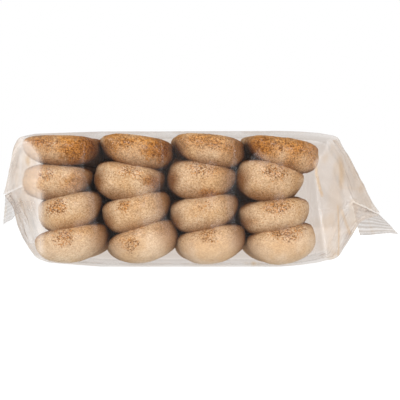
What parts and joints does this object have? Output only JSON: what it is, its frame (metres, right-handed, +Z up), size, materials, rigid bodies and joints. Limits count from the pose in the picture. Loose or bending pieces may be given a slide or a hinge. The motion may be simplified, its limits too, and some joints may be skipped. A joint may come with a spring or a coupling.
{
  "type": "pack of ladyfingers",
  "caption": "Clear flow-wrap pack of stacked sponge finger biscuits, lying on its long side, with a crimped seal hanging from each end.",
  "frame": {"origin": "bottom centre of the pack's bounding box, on the surface that it lies on", "axes": "+X along the film tube from the short seal to the long one, +Y along the fingers to the back, +Z up"},
  "size_m": [0.2068, 0.1014, 0.0718],
  "materials": {
    "film": "clear glossy film over golden brown porous sponge fingers"
  },
  "bodies": {
    "root": {"bag": "film"}
  },
  "joints": []
}
